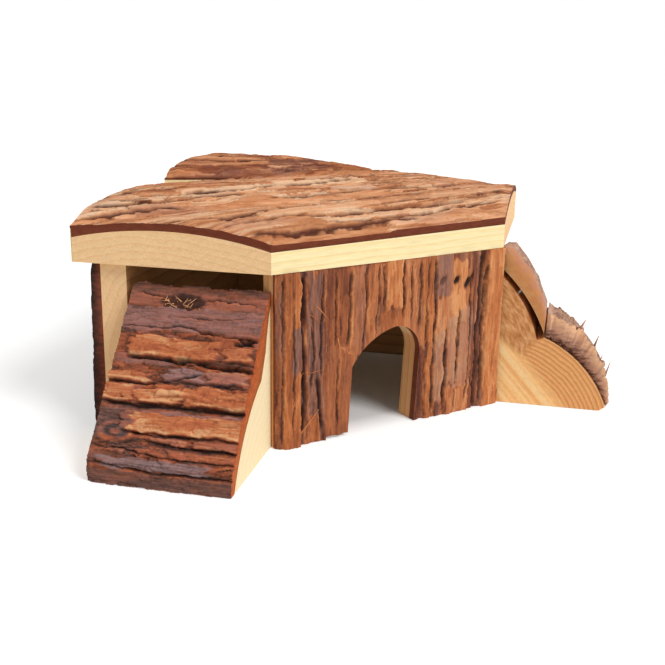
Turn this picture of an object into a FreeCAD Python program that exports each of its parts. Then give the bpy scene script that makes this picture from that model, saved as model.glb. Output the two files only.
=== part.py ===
import FreeCAD, Part

import math
import os

from FreeCAD import Vector

# Small-animal corner house: a roof of three bark-topped slabs on three bark-faced walls,
# with a bark-covered ramp block closing each cut corner.
# Millimetres. +X right, +Y to the back, +Z up. The front stands at the low Y side.

# Overall plan, seen from above: two equal sides meet square at the back corner,
# and both other ends are cut off at 45 degrees behind a straight front.
side_length = 150.0
corner_cut = 53.3
wall_height = 66.0

# Roof slabs, each sawn from its own log. Thicknesses are of wood alone, at the front edge, the
# crown and the back edge, and a rise is for each millimetre to the right. The back slab lies
# turned, so the middle one is wider at its left end. Its width is taken at the house's middle.
slab_gap = 0.3
front_slab_width = 53.0
front_slab_thickness = (8.6, 14.2, 10.5)
front_slab_rise = 0.014
middle_slab_width = 54.4
middle_slab_thickness = (11.2, 16.2, 11.2)
middle_slab_rise = -0.011
back_slab_thickness = (17.2, 21.5, 19.5)
back_slab_rise = -0.03
back_slab_turn = 10.6
roof_bark = 3.8

# Front wall, with its doorway. Depths are measured from the roof's front edge.
front_wall_length = 104.0
front_wall_shift = 1.6
front_wall_inset = 0.5
front_bark = 2.6
front_board = 7.2
door_left = -20.0
door_right = 11.0
door_lean = 1.7
door_shoulder = 27.0
door_height = 40.2
door_top_x = 1.2
door_left_bow = 2.6
door_right_bow = 4.2

# Side walls, set in from the roof's long edges.
side_inset = 6.4
side_bark = 3.0
side_board = 10.1
side_end_setback = 3.5
butt_clearance = 0.2

# Ramp blocks. A ramp's inner corner meets the end of the front wall, this far behind its face.
ramp_width = 51.4
ramp_end_clearance = 0.2
left_ramp_corner = 4.0
left_ramp_reach = 46.0
left_ramp_roof_gap = 6.0
right_ramp_corner = 1.5
right_ramp_reach = 47.0
bark_gap = 0.3

# Brads: plain round steel pins, all one gauge, and the depth their heads are sunk.
brad_diameter = 1.2
brad_clearance = 0.05
brad_sink = 0.8
roof_brad_length = 38.0
roof_brad_edge = 5.0
roof_brad_seam = 13.0
front_brad_end = 20.0
corner_brad_length = 32.0
ramp_brad_length = 22.0
ramp_brad_behind = 2.5

# Pins that hold bark: one high on the front wall, and two across the gap under the sprung bark.
front_pin_length = 8.0
front_pin_end = 13.0
gap_pin_length = 16.0
gap_pin_lean = 48.0
gap_pin_place = (0.300, 0.820)
pin_edge = 2.2

diagonal = math.sqrt(0.5)
half_span = side_length * diagonal
front_half = half_span - corner_cut
plan_depth = corner_cut + half_span
tall = 4.0 * wall_height
margin = 5.0
front_face = front_wall_inset
front_board_face = front_face + front_bark
front_inside = front_board_face + front_board
front_wall_left = front_wall_shift - front_wall_length / 2.0
front_wall_right = front_wall_shift + front_wall_length / 2.0
turn_slope = math.tan(math.radians(back_slab_turn))
middle_start = front_slab_width + slab_gap
back_seam = middle_start + middle_slab_width
back_log_width = plan_depth - back_seam


def face_of(edges):
    return Part.Face(Part.Wire(edges))


def line(a, b):
    return Part.LineSegment(a, b).toShape()


def arc(a, middle, b):
    return Part.Arc(a, middle, b).toShape()


def prism(points, low, high):
    """A straight-sided solid over an outline given as plan points."""
    outline = [Vector(x, y, low) for x, y in points]
    face = Part.Face(Part.makePolygon(outline + outline[:1]))
    return face.extrude(Vector(0, 0, high - low))


def box(x0, x1, y0, y1, z0, z1):
    return Part.makeBox(x1 - x0, y1 - y0, z1 - z0, Vector(x0, y0, z0))


def roof_plan(low, high):
    return prism(
        [
            (-front_half, 0.0),
            (front_half, 0.0),
            (half_span, corner_cut),
            (0.0, plan_depth),
            (-half_span, corner_cut),
        ],
        low,
        high,
    )


def slab_arc(start, width, thickness, raised):
    """Front, crown and back points of a log's rounded top, raised by the bark."""
    x = -half_span - margin
    base = wall_height + raised
    front, crown, back = thickness
    return (
        Vector(x, start, base + front),
        Vector(x, start + width / 2.0, base + crown),
        Vector(x, start + width, base + back),
    )


def slab_wood(start, width, thickness):
    front, crown, back = slab_arc(start, width, thickness, 0.0)
    low = wall_height - margin
    front_low = Vector(front.x, front.y, low)
    back_low = Vector(back.x, back.y, low)
    edges = [
        line(front_low, front),
        arc(front, crown, back),
        line(back, back_low),
        line(back_low, front_low),
    ]
    return face_of(edges)


def slab_bark(start, width, thickness):
    front, crown, back = slab_arc(start, width, thickness, 0.0)
    front_top, crown_top, back_top = slab_arc(start, width, thickness, roof_bark)
    edges = [
        line(front, front_top),
        arc(front_top, crown_top, back_top),
        line(back_top, back),
        arc(back, crown, front),
    ]
    return face_of(edges)


def slab_body(section, start, rise, turn):
    """Runs a section along the roof, sloped and turned, and saws it to the roof's plan."""
    run = section.extrude(Vector(2.0 * (half_span + margin), 0, 0))
    run.rotate(Vector(0, 0, wall_height), Vector(0, 1, 0), -math.degrees(math.atan(rise)))
    run.rotate(Vector(0, start, 0), Vector(0, 0, 1), -turn)
    return run.common(roof_plan(wall_height, tall))


def behind_seam():
    """All that lies behind the back slab's seam: the middle slab is sawn off along it."""
    reach = half_span + margin
    outline = [
        (-reach, back_seam + turn_slope * reach),
        (reach, back_seam - turn_slope * reach),
        (reach, back_seam + 2.0 * reach),
        (-reach, back_seam + 2.0 * reach),
    ]
    return prism(outline, wall_height - margin, tall)


def roof():
    """Three slabs, from the front to the back, each with its bark."""
    seam_reach = turn_slope * back_log_width / (1.0 + turn_slope)
    middle_log_width = middle_slab_width + seam_reach + slab_gap
    back_start = back_seam + slab_gap * math.sqrt(1.0 + turn_slope**2)
    logs = {
        "front": (0.0, front_slab_width, front_slab_thickness, front_slab_rise, 0.0),
        "middle": (middle_start, middle_log_width, middle_slab_thickness, middle_slab_rise, 0.0),
        "back": (back_start, back_log_width, back_slab_thickness, back_slab_rise, back_slab_turn),
    }
    nodes = {}
    for name, (start, width, thickness, rise, turn) in logs.items():
        wood = slab_body(slab_wood(start, width, thickness), start, rise, turn)
        bark = slab_body(slab_bark(start, width, thickness), start, rise, turn)
        nodes["roof_" + name + "_slab"] = wood
        nodes["roof_" + name + "_bark"] = bark
    for node in ("roof_middle_slab", "roof_middle_bark"):
        nodes[node] = nodes[node].cut(behind_seam())
    return nodes


def side_point(side, along, inward):
    """A plan point by its distance along and inside a long roof edge; side is -1 left, 1 right."""
    x = half_span - (along + inward) * diagonal
    y = corner_cut + (along - inward) * diagonal
    return side * x, y


def side_strip(side, start, end, near, far):
    corners = [(start, near), (end, near), (end, far), (start, far)]
    return prism([side_point(side, along, inward) for along, inward in corners], 0.0, wall_height)


def side_walls():
    """The left wall runs through to the back corner, and the right wall butts against it."""
    bark_in = side_inset + side_bark
    inside = bark_in + side_board
    through_end = side_length - side_inset
    butt_end = side_length - inside - butt_clearance
    bark_end = side_length - bark_in
    return {
        "left_wall_board": side_strip(-1, side_end_setback, through_end, bark_in, inside),
        "left_wall_bark": side_strip(-1, side_end_setback, bark_end, side_inset, bark_in),
        "right_wall_board": side_strip(1, side_end_setback, butt_end, bark_in, inside),
        "right_wall_bark": side_strip(1, side_end_setback, butt_end, side_inset, bark_in),
    }


def bowed(a, b, bow):
    """The middle point of an arc from a to b that bows out to the left of that direction."""
    run = b.sub(a)
    out = Vector(-run.z, 0, run.x)
    out.normalize()
    return a.add(b).multiply(0.5).add(out.multiply(bow))


def doorway():
    """A hand-cut arch: leaning jambs and two unequal shoulders."""
    front = front_face - margin
    left_foot = Vector(door_left, front, -margin)
    left_shoulder = Vector(door_left + door_lean, front, door_shoulder)
    top = Vector(door_top_x, front, door_height)
    right_shoulder = Vector(door_right + door_lean, front, door_shoulder)
    right_foot = Vector(door_right, front, -margin)
    edges = [
        line(left_foot, left_shoulder),
        arc(left_shoulder, bowed(left_shoulder, top, door_left_bow), top),
        arc(top, bowed(top, right_shoulder, door_right_bow), right_shoulder),
        line(right_shoulder, right_foot),
        line(right_foot, left_foot),
    ]
    return face_of(edges).extrude(Vector(0, front_inside - front + margin, 0))


def front_wall():
    cut = doorway()
    bark = box(front_wall_left, front_wall_right, front_face, front_board_face, 0.0, wall_height)
    board = box(front_wall_left, front_wall_right, front_board_face, front_inside, 0.0, wall_height)
    return {"front_wall_bark": bark.cut(cut), "front_wall_board": board.cut(cut)}


def ramp_corner(side):
    """Plan point where a ramp's back and its near side meet, at the end of the front wall."""
    if side < 0:
        return front_wall_left - ramp_end_clearance, front_face + left_ramp_corner
    return front_wall_right + ramp_end_clearance, front_face + right_ramp_corner


def ramp_point(side, out, z, across=0.0):
    """A point of a ramp by its distance out from the ramp's back and across from its near side."""
    x, y = ramp_corner(side)
    return Vector(x + side * (out + across) * diagonal, y + (across - out) * diagonal, z)


def ramp_body(side, edges):
    return face_of(edges).extrude(Vector(side * diagonal, diagonal, 0).multiply(ramp_width))


def left_ramp():
    """Two lobes of wood with a thick, almost evenly sloping bark over them."""
    height = wall_height - left_ramp_roof_gap

    def at(out, up):
        return ramp_point(-1, out * left_ramp_reach, up * height)

    back_foot = at(0.0, 0.0)
    wood_top = at(0.0, 0.90)
    upper_lobe = at(0.078, 0.775)
    upper_end = at(0.135, 0.64)
    notch = at(0.25, 0.49)
    lower_lobe = at(0.58, 0.335)
    wood_toe = at(0.915, 0.0)
    bark_top = at(0.0, 1.0)
    bark_bulge = at(0.575, 0.505)
    bark_knee = at(0.975, 0.13)
    bark_toe = at(1.0, 0.0)
    block = [
        line(back_foot, wood_top),
        arc(wood_top, upper_lobe, upper_end),
        line(upper_end, notch),
        arc(notch, lower_lobe, wood_toe),
        line(wood_toe, back_foot),
    ]
    bark = [
        line(wood_top, bark_top),
        arc(bark_top, bark_bulge, bark_knee),
        line(bark_knee, bark_toe),
        line(bark_toe, wood_toe),
        arc(wood_toe, lower_lobe, notch),
        line(notch, upper_end),
        arc(upper_end, upper_lobe, wood_top),
    ]
    return {"left_ramp_block": ramp_body(-1, block), "left_ramp_bark": ramp_body(-1, bark)}


def right_ramp():
    """Two deep lobes. The upper bark has sprung away from the wood, the lower lies close."""

    def at(out, up, clear=0.0):
        lift = clear * diagonal
        return ramp_point(1, out * right_ramp_reach + lift, up * wall_height + lift)

    back_foot = at(0.0, 0.0)
    wood_top = at(0.0, 0.825)
    upper_lobe = at(0.198, 0.664)
    notch = at(0.345, 0.42)
    lobe_start = at(0.41, 0.442)
    lower_lobe = at(0.713, 0.303)
    wood_toe = at(0.972, 0.026)
    heel = at(0.92, 0.0)
    block = [
        line(back_foot, wood_top),
        arc(wood_top, upper_lobe, notch),
        line(notch, lobe_start),
        arc(lobe_start, lower_lobe, wood_toe),
        line(wood_toe, heel),
        line(heel, back_foot),
    ]
    inner_top = at(0.0, 0.873)
    inner_middle = at(0.245, 0.680)
    inner_foot = at(0.404, 0.47)
    outer_foot = at(0.414, 0.59)
    outer_middle = at(0.311, 0.806)
    outer_top = at(0.094, 1.0)
    roof_corner = at(0.0, 1.0)
    upper = [
        line(inner_top, roof_corner),
        line(roof_corner, outer_top),
        arc(outer_top, outer_middle, outer_foot),
        line(outer_foot, inner_foot),
        arc(inner_foot, inner_middle, inner_top),
    ]
    lower_start = at(0.41, 0.442, 2.0 * bark_gap)
    lower_middle = at(0.713, 0.303, bark_gap)
    lower_toe = at(0.972, 0.026, bark_gap)
    crest_start = at(0.425, 0.605)
    crest_middle = at(0.728, 0.492)
    crest_toe = at(1.0, 0.06)
    lower = [
        line(lower_start, crest_start),
        arc(crest_start, crest_middle, crest_toe),
        line(crest_toe, lower_toe),
        arc(lower_toe, lower_middle, lower_start),
    ]
    return {
        "right_ramp_block": ramp_body(1, block),
        "right_ramp_upper_bark": ramp_body(1, upper),
        "right_ramp_lower_bark": ramp_body(1, lower),
    }


def brad(start, direction, length):
    """A brad whose head is sunk below the surface that it is driven through at start."""
    head = start.add(Vector(direction).multiply(brad_sink))
    return Part.makeCylinder(brad_diameter / 2.0, length - brad_sink, head, direction)


def brad_hole(start, direction, length):
    """The hole that a brad leaves, open at the surface."""
    mouth = start.sub(Vector(direction).multiply(margin))
    radius = brad_diameter / 2.0 + brad_clearance
    return Part.makeCylinder(radius, margin + length + brad_clearance, mouth, direction)


def roof_brads(nodes):
    """Driven down through bark and slab into the middle of the board below."""
    board_middle = side_inset + side_bark + side_board / 2.0
    front_y = front_board_face + front_board / 2.0
    places = [
        (front_wall_left + front_brad_end, front_y, "roof_front_bark"),
        (front_wall_right - front_brad_end, front_y, "roof_front_bark"),
    ]
    last_y = side_point(1, side_length - 2.0 * board_middle, board_middle)[1]
    for side in (-1, 1):
        for y, bark in (
            (front_slab_width - roof_brad_edge, "roof_front_bark"),
            (middle_start + roof_brad_seam, "roof_middle_bark"),
            (back_seam - roof_brad_seam, "roof_middle_bark"),
            ((back_seam + last_y) / 2.0, "roof_back_bark"),
        ):
            along = (y - corner_cut) / diagonal + board_middle
            x = side_point(side, along, board_middle)[0]
            places.append((x, y, bark))
    brads = []
    for x, y, bark in places:
        upright = line(Vector(x, y, wall_height), Vector(x, y, tall))
        top = upright.common(nodes[bark]).BoundBox.ZMax
        brads.append((Vector(x, y, top), Vector(0, 0, -1), roof_brad_length))
    return brads


def corner_brads():
    """Driven through the left wall into the end of the right wall, at the back corner."""
    along = side_length - side_inset - side_bark - side_board / 2.0
    x, y = side_point(-1, along, side_inset + side_bark)
    inward = Vector(diagonal, -diagonal, 0)
    heights = (wall_height / 4.0, wall_height * 3.0 / 4.0)
    return [(Vector(x, y, z), inward, corner_brad_length) for z in heights]


def ramp_brads():
    """Driven from inside, slantwise through the front wall's ends into the ramp blocks."""
    brads = []
    for side in (-1, 1):
        x, y = ramp_corner(side)
        wall_end = front_wall_left if side < 0 else front_wall_right
        start_x = wall_end - side * (front_inside - y - ramp_brad_behind)
        for z in (wall_height / 6.0, wall_height / 2.0):
            outward = Vector(side * diagonal, -diagonal, 0)
            brads.append((Vector(start_x, front_inside, z), outward, ramp_brad_length))
    return brads


def bark_pins():
    """One brad in the front bark under the roof's edge, and two across the sprung bark's gap."""
    front_head = Vector(front_wall_right - front_pin_end, front_face, wall_height - pin_edge)
    pins = [(front_head, Vector(0, 1, 0), front_pin_length)]
    out, up = gap_pin_place
    level = math.cos(math.radians(gap_pin_lean)) * diagonal
    inward = Vector(-level, level, -math.sin(math.radians(gap_pin_lean)))
    for across in (pin_edge, ramp_width - pin_edge):
        head = ramp_point(1, out * right_ramp_reach, up * wall_height, across)
        pins.append((head, inward, gap_pin_length))
    return pins


def drilled(nodes, brads):
    """Drills every piece that the brads go through, each with all of its holes at once."""
    holes = [brad_hole(*one) for one in brads]
    for node, shape in nodes.items():
        through = [hole for hole in holes if shape.common(hole).Volume > 0]
        if through:
            nodes[node] = shape.cut(through)


def house():
    nodes = roof()
    nodes.update(front_wall())
    nodes.update(side_walls())
    nodes.update(left_ramp())
    nodes.update(right_ramp())
    groups = {
        "roof_brads": roof_brads(nodes),
        "corner_brads": corner_brads(),
        "ramp_brads": ramp_brads(),
        "bark_pins": bark_pins(),
    }
    drilled(nodes, [one for brads in groups.values() for one in brads])
    for name, brads in groups.items():
        nodes[name] = Part.makeCompound([brad(*one) for one in brads])
    return nodes


def centred(nodes):
    """Moves the house so that the middle of its footprint is the origin."""
    bounds = FreeCAD.BoundBox()
    for shape in nodes.values():
        bounds.add(shape.optimalBoundingBox(False))
    middle = Vector(-bounds.Center.x, -bounds.Center.y, 0)
    for shape in nodes.values():
        shape.translate(middle)
    return bounds


os.makedirs("parts", exist_ok=True)
pieces = house()
size = centred(pieces)
print("size %.1f x %.1f x %.1f mm" % (size.XLength, size.YLength, size.ZLength))
print("moved by %.3f, %.3f mm" % (-size.Center.x, -size.Center.y))
for name, shape in pieces.items():
    state = "valid" if shape.isValid() else "NOT VALID"
    print(name, len(shape.Solids), "solids,", state, round(shape.Volume, 1))
    shape.exportStep("parts/" + name + ".step")
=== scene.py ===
import math
from functools import partial

import bmesh
import bpy
import numpy as np
from mathutils import Matrix, Vector


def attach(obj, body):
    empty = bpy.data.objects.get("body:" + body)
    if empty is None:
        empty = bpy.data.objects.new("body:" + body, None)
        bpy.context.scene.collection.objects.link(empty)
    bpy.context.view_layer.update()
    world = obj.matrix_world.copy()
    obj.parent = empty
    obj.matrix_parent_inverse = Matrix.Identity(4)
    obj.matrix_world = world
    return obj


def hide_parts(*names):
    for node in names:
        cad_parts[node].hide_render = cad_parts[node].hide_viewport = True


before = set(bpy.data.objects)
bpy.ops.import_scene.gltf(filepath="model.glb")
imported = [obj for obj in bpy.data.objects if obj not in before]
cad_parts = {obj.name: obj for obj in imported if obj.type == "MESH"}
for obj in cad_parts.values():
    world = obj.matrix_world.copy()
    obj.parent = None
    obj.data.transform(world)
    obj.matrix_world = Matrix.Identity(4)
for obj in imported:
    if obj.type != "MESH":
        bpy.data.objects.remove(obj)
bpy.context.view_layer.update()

mm = 0.001
diagonal = math.sqrt(0.5)
planShift = np.array([-1.957, -64.063, 0])  # the plan starts at the middle of the front edge


def linearColour(hexText):
    # sRGB hex to the linear colour that the shaders want
    parts = [int(hexText[i:i + 2], 16) / 255 for i in (1, 3, 5)]
    parts = [p / 12.92 if p <= 0.04045 else ((p + 0.055) / 1.055) ** 2.4 for p in parts]
    return parts + [1]


def addNode(tree, kind, links=None, out=0, stops=(), **settings):
    # One node with its settings, its socket values or links, and a ramp's stops if it has any.
    # It gives back the output that is asked for.
    made = tree.nodes.new("ShaderNode" + kind)
    for key, value in settings.items():
        setattr(made, key, value)
    for key, value in (links or {}).items():
        if isinstance(value, bpy.types.NodeSocket):
            tree.links.new(value, made.inputs[key])
        else:
            made.inputs[key].default_value = value
    for number, (place, colour) in enumerate(stops):
        ramp = made.color_ramp.elements
        stop = ramp[number] if number < 2 else ramp.new(place)
        stop.position = place
        stop.color = linearColour(colour)
    return made.outputs[out] if made.outputs else None


def emptyMaterial(name):
    # a material without nodes, and what adds a node to it, as add(kind, links)
    made = bpy.data.materials.new(name)
    made.use_nodes = True
    made.node_tree.nodes.clear()
    return made, partial(addNode, made.node_tree)


def placed(name, data):
    made = bpy.data.objects.new(name, data)
    bpy.context.scene.collection.objects.link(made)
    return made


def builtFrom(name, bm):
    mesh = bpy.data.meshes.new(name)
    bm.to_mesh(mesh)
    bm.free()
    return placed(name, mesh)


def smoothStep(low, high, value):
    t = np.clip((value - low) / (high - low), 0, 1)
    return t * t * (3 - 2 * t)


def gradientNoise(u, v, seed):
    # plain gradient noise, about -1 to 1, the same on every run
    random = np.random.default_rng(seed)
    last = 4095  # one less than a power of two, as a mask
    order = random.permutation(last + 1)
    turns = random.uniform(0, 2 * math.pi, last + 1)
    cellU = np.floor(u).astype(int)
    cellV = np.floor(v).astype(int)
    inU = u - cellU
    inV = v - cellV
    fadeU = inU ** 3 * (inU * (inU * 6 - 15) + 10)
    fadeV = inV ** 3 * (inV * (inV * 6 - 15) + 10)
    rows = []
    for stepV in (0, 1):
        ends = []
        for stepU in (0, 1):
            turn = turns[order[(order[(cellU + stepU) & last] + cellV + stepV) & last]]
            ends.append(np.cos(turn) * (inU - stepU) + np.sin(turn) * (inV - stepV))
        rows.append(ends[0] + (ends[1] - ends[0]) * fadeU)
    return 1.5 * (rows[0] + (rows[1] - rows[0]) * fadeV)


def layeredNoise(u, v, seed, layers=4, fall=0.5):
    total = np.zeros_like(u)
    size = 1
    for number in range(layers):
        total = total + size * gradientNoise(u * 2 ** number, v * 2 ** number, seed + number)
        size *= fall
    return total


def circleThrough(first, middle, last):
    ax, ay = first
    bx, by = middle
    cx, cy = last
    twice = 2 * (ax * (by - cy) + bx * (cy - ay) + cx * (ay - by))
    a2, b2, c2 = ax * ax + ay * ay, bx * bx + by * by, cx * cx + cy * cy
    x = (a2 * (by - cy) + b2 * (cy - ay) + c2 * (ay - by)) / twice
    y = (a2 * (cx - bx) + b2 * (ax - cx) + c2 * (bx - ax)) / twice
    return x, y, math.hypot(ax - x, ay - y)


def arcPoints(first, middle, last, count=40):
    x, y, radius = circleThrough(first, middle, last)
    start = math.atan2(first[1] - y, first[0] - x)
    sweep = math.atan2(last[1] - y, last[0] - x) - start
    sweep = (sweep + math.pi) % (2 * math.pi) - math.pi
    turn = start + sweep * np.linspace(0, 1, count)
    return np.stack([x + radius * np.cos(turn), y + radius * np.sin(turn)], 1)


def alongPath(path, share):
    # points and outward normals at a share, 0 to 1, of a section path's length
    run = np.concatenate([[0], np.cumsum(np.hypot(*np.diff(path, axis=0).T))])
    at = share * run[-1]
    point = np.stack([np.interp(at, run, path[:, 0]), np.interp(at, run, path[:, 1])], 1)
    ahead = np.clip(at + 1, 0, run[-1])
    behind = np.clip(at - 1, 0, run[-1])
    alongX = np.interp(ahead, run, path[:, 0]) - np.interp(behind, run, path[:, 0])
    alongZ = np.interp(ahead, run, path[:, 1]) - np.interp(behind, run, path[:, 1])
    size = np.maximum(np.hypot(alongX, alongZ), 1e-9)
    return point, np.stack([-alongZ / size, alongX / size], 1)


# Bark relief. Flakes are contour steps of a noise stretched along the grain, so they nest and
# taper as real scales do. u runs along the grain and v across it, both in millimetres.
def flakes(u, v, long, wide, levels, seed):
    def field(a, b):
        bend = layeredNoise(a / (0.7 * long), b / (2.5 * wide), seed + 40, 2)
        tear = layeredNoise(a / 2.6, b / 1.3, seed + 60, 2)
        height = layeredNoise(a / long + 0.25 * bend, b / wide + 0.45 * bend, seed, 4, 0.5)
        return levels * (height + 0.035 * tear) + 20

    here = field(u, v)
    slope = np.hypot(field(u + 0.15, v) - here, field(u, v + 0.15) - here) / 0.15
    level = np.floor(here)
    toNext = (1 - (here - level)) / np.maximum(slope, 0.02)
    tone = np.sin(level * 2.4 + 1.3 * layeredNoise(u / long, v / wide, seed + 80, 2)) * 0.5 + 0.5
    return level - 20, toNext, tone


# A look holds: swell's height, length and width. Each flake size's length, width, levels, rise,
# edge width and gap depth. The splits' length, width, gap, depth and share. The fibres' height,
# tone, length and width.
def barkRelief(u, v, look, seed):
    # height in millimetres, crack and painted shade 0 to 1 and tone about 0 to 1
    swell, long, wide = look["swell"]
    height = swell * layeredNoise(u / long, v / wide, seed + 1, 3)
    crackAndShade = np.zeros_like(u)
    tone = np.zeros_like(u)
    for number, (long, wide, levels, rise, width, depth) in enumerate(look["flakes"]):
        level, toNext, flakeTone = flakes(u, v, long, wide, levels, seed + 200 * (number + 1))
        height = height + rise * (level + smoothStep(width, 0, toNext))
        gap = np.exp(-((toNext - width) / (1.1 * width)) ** 2)
        patchy = layeredNoise(u / (1.5 * long), v / (1.5 * wide), seed + 7, 2)
        gap = gap * (0.35 + 0.65 * smoothStep(-0.35, 0.35, patchy))
        height = height - depth * gap
        # painted shadow: the foot of each flake's step is darkened as a shadow line, over a real groove
        crackAndShade = np.maximum(crackAndShade, gap * min(1, depth / 0.6))
        tone = tone + flakeTone * (0.65 if number == 0 else 0.35)
    long, wide, width, depth, share = look["splits"]
    line = np.abs(layeredNoise(u / long, v / wide, seed + 900, 3, 0.45))
    opened = smoothStep(1 - share, 1, 0.5 + 0.5 * layeredNoise(u / 30, v / 12, seed + 950, 2))
    split = smoothStep(width / wide, 0.3 * width / wide, line) * opened
    height = height - depth * split
    crackAndShade = np.maximum(crackAndShade, split)
    rise, shade, long, wide = look["fibre"]
    fibre = layeredNoise(u / long, v / wide, seed + 990, 2)
    return height + rise * fibre, crackAndShade, tone + shade * fibre


def layPatches(u, v, state, patches, seed):
    # Single plates, ridges, holes and stains with ragged edges. A thick plate has a painted
    # highlight, a paler lip, on its far edge and a painted shadow, a dark line, under it.
    height, crackAndShade, tone, grey = state
    for number, patch in enumerate(patches):
        u0, u1, v0, v1, lift, patchTone, patchGrey, patchCrackAndShade = (*patch, 0, 0)[:8]
        sway = 0.8 * layeredNoise(u / 9, v / 40, seed + 10 * number, 3)
        tear = 2.2 * layeredNoise(u / 25, v / 1.7, seed + 10 * number + 5, 3)
        end = min(1.2, 0.3 * (u1 - u0))
        edge = min(0.5, 0.3 * (v1 - v0))
        ends = smoothStep(0, end, u + tear - u0) * smoothStep(0, end, u1 - u - tear)
        toEdge = v1 - v - sway
        mask = smoothStep(0, edge, v + sway - v0) * smoothStep(0, edge, toEdge) * ends
        height = height + lift * mask
        tone = tone + mask * 0.85 * (patchTone + 0.35 * (tone - 0.5) - tone)
        crackAndShade = crackAndShade * (1 - 0.6 * mask)
        grey = grey + mask * (patchGrey - grey)
        crackAndShade = np.maximum(crackAndShade, patchCrackAndShade * mask)
        if lift > 0.5:
            # painted highlight: the far edge of a thick plate is made paler
            paintedHighlightLip = np.exp(-(((toEdge - 0.9) / 0.6) ** 2)) * ends
            tone = tone + 0.14 * paintedHighlightLip
            # painted shadow: a dark line just past a thick plate's far edge, over a shallow groove
            under = np.exp(-(((toEdge + 0.35) / 0.45) ** 2)) * ends
            crackAndShade = np.maximum(crackAndShade * (1 - paintedHighlightLip), 0.9 * under)
            height = height - 0.35 * under
    return height, crackAndShade, tone, grey


def drawCracks(u, v, state, cracks, seed, gain):
    # long splits along the grain: width, depth and the points that each one passes
    height, crackAndShade, tone, grey = state
    for number, (width, depth, points) in enumerate(cracks):
        width = width * gain
        us, vs = np.array(points).T
        wander = 0.45 * layeredNoise(u / 8, v / 90, seed + 3 * number, 4, 0.65)
        off = v - np.interp(u, us, vs) - wander
        inside = smoothStep(us[0] - 1, us[0] + 4, u) * smoothStep(us[-1] + 1, us[-1] - 4, u)
        varied = 1 + 0.6 * layeredNoise(u / 6, v / 90, seed + 3 * number + 1, 2)
        size = np.maximum(width * (0.35 + 0.65 * inside) * varied, 0.12)
        mask = np.exp(-((off / size) ** 2)) * inside
        side = 0.3 * depth * np.exp(-np.abs(off) / 3) * smoothStep(0, width, off) * inside
        height = height + side - depth * mask
        crackAndShade = np.maximum(crackAndShade, mask)
        tone = tone + 0.2 * np.exp(-(((off - 2.2 * width) / width) ** 2)) * inside
    return height, crackAndShade, tone, grey


def cutOutline(bm, outline):
    # splits the faces along an outline, run by run, and takes out what lies inside it
    for first, last in zip(outline[:-1], outline[1:]):
        run = Vector((last[0] - first[0], last[1] - first[1], 0))
        middle = Vector(((first[0] + last[0]) / 2, (first[1] + last[1]) / 2, 0))
        reach = run.length / 2 + 0.8
        geom = set()
        for face in bm.faces:
            corner = face.verts[0].co
            if abs(corner.x - middle.x) < reach and abs(corner.y - middle.y) < reach:
                geom.add(face)
                geom.update(face.edges)
                geom.update(face.verts)
        if geom:
            side = Vector((run.y, -run.x, 0))
            bmesh.ops.bisect_plane(bm, geom=list(geom), dist=1e-5, plane_co=middle, plane_no=side)
    low = outline.min(0)
    high = outline.max(0)
    runs = list(zip(outline, np.roll(outline, -1, axis=0)))
    gone = []
    for face in bm.faces:
        x, y = face.calc_center_median().xy
        if low[0] < x < high[0] and low[1] < y < high[1]:
            crossings = 0
            for (x0, y0), (x1, y1) in runs:
                if (y0 > y) != (y1 > y) and x < x0 + (x1 - x0) * (y - y0) / (y1 - y0):
                    crossings += 1
            if crossings % 2:
                gone.append(face)
    bmesh.ops.delete(bm, geom=gone, context="FACES")


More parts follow.
